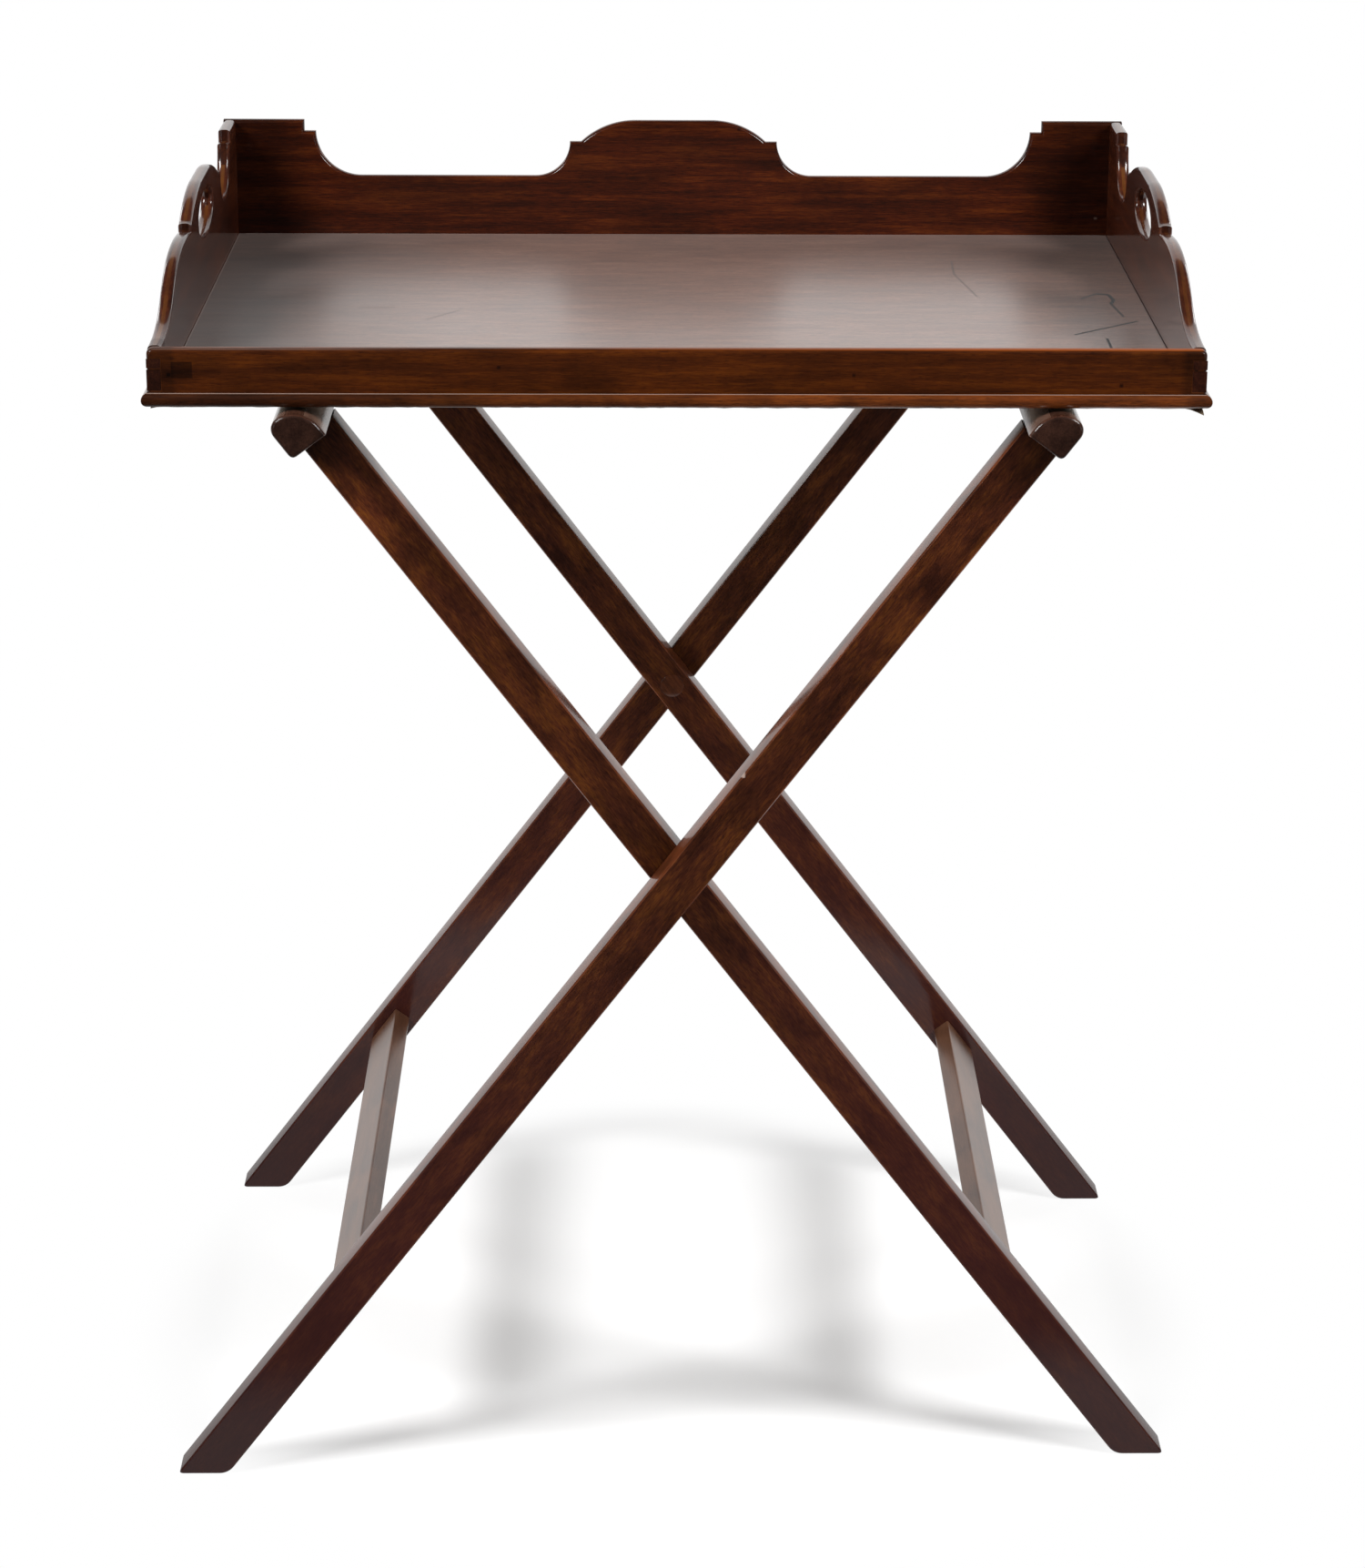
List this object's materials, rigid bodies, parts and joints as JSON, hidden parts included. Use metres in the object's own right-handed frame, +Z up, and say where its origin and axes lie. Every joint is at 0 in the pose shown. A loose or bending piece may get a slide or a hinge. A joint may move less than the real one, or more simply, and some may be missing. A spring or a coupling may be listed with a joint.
{
  "type": "butler tray on folding stand",
  "caption": "Rectangular wooden tray with a shaped, dovetailed gallery and oval hand holes, lifting off a folding X-shaped stand with webbing straps.",
  "frame": {"origin": "on the floor under the middle of the stand", "axes": "+X to the right and +Y to the back as seen from the tray's low front rail, +Z up"},
  "size_m": [0.729, 0.536, 0.918],
  "materials": {
    "mahogany_floor": "polished, satin",
    "lining": "worn cloth",
    "mahogany_gallery": "French polish",
    "mahogany_moulding": "French polish",
    "mahogany_stand": "French polish, worn arrises",
    "pin_steel": "dull",
    "washer_brass": "dull",
    "webbing": "woven"
  },
  "bodies": {
    "outer_frame": {"outer_leg_front": "mahogany_stand", "outer_leg_back": "mahogany_stand", "outer_top_rail": "mahogany_stand", "outer_stretcher": "mahogany_stand", "pivot_pin_front": "pin_steel", "pivot_pin_back": "pin_steel", "pivot_washer_front": "washer_brass", "pivot_washer_back": "washer_brass", "strap_front": "webbing", "strap_middle": "webbing", "strap_back": "webbing"},
    "inner_frame": {"inner_leg_front": "mahogany_stand", "inner_leg_back": "mahogany_stand", "inner_top_rail": "mahogany_stand", "inner_stretcher": "mahogany_stand"},
    "tray": {"base_board": "mahogany_floor", "base_lining": "lining", "gallery_front": "mahogany_gallery", "gallery_back": "mahogany_gallery", "gallery_left": "mahogany_gallery", "gallery_right": "mahogany_gallery", "moulding_front": "mahogany_moulding", "moulding_back": "mahogany_moulding", "moulding_left": "mahogany_moulding", "moulding_right": "mahogany_moulding"}
  },
  "joints": [
    {"name": "stand_fold", "type": "hinge", "parent": "outer_frame", "child": "inner_frame", "pos_m": [0, 0, 0.463], "axis": [0, 1, 0], "range_deg": [0, 69], "deforming": ["strap_front", "strap_middle", "strap_back"]},
    {"name": "tray_lift", "type": "slide", "parent": "outer_frame", "child": "tray", "axis": [0, 0, 1], "range_m": [0, 0.37]}
  ],
  "couplings": [
    {"joint": "tray_lift", "follows": "stand_fold", "m_per_rad": 0.3}
  ]
}
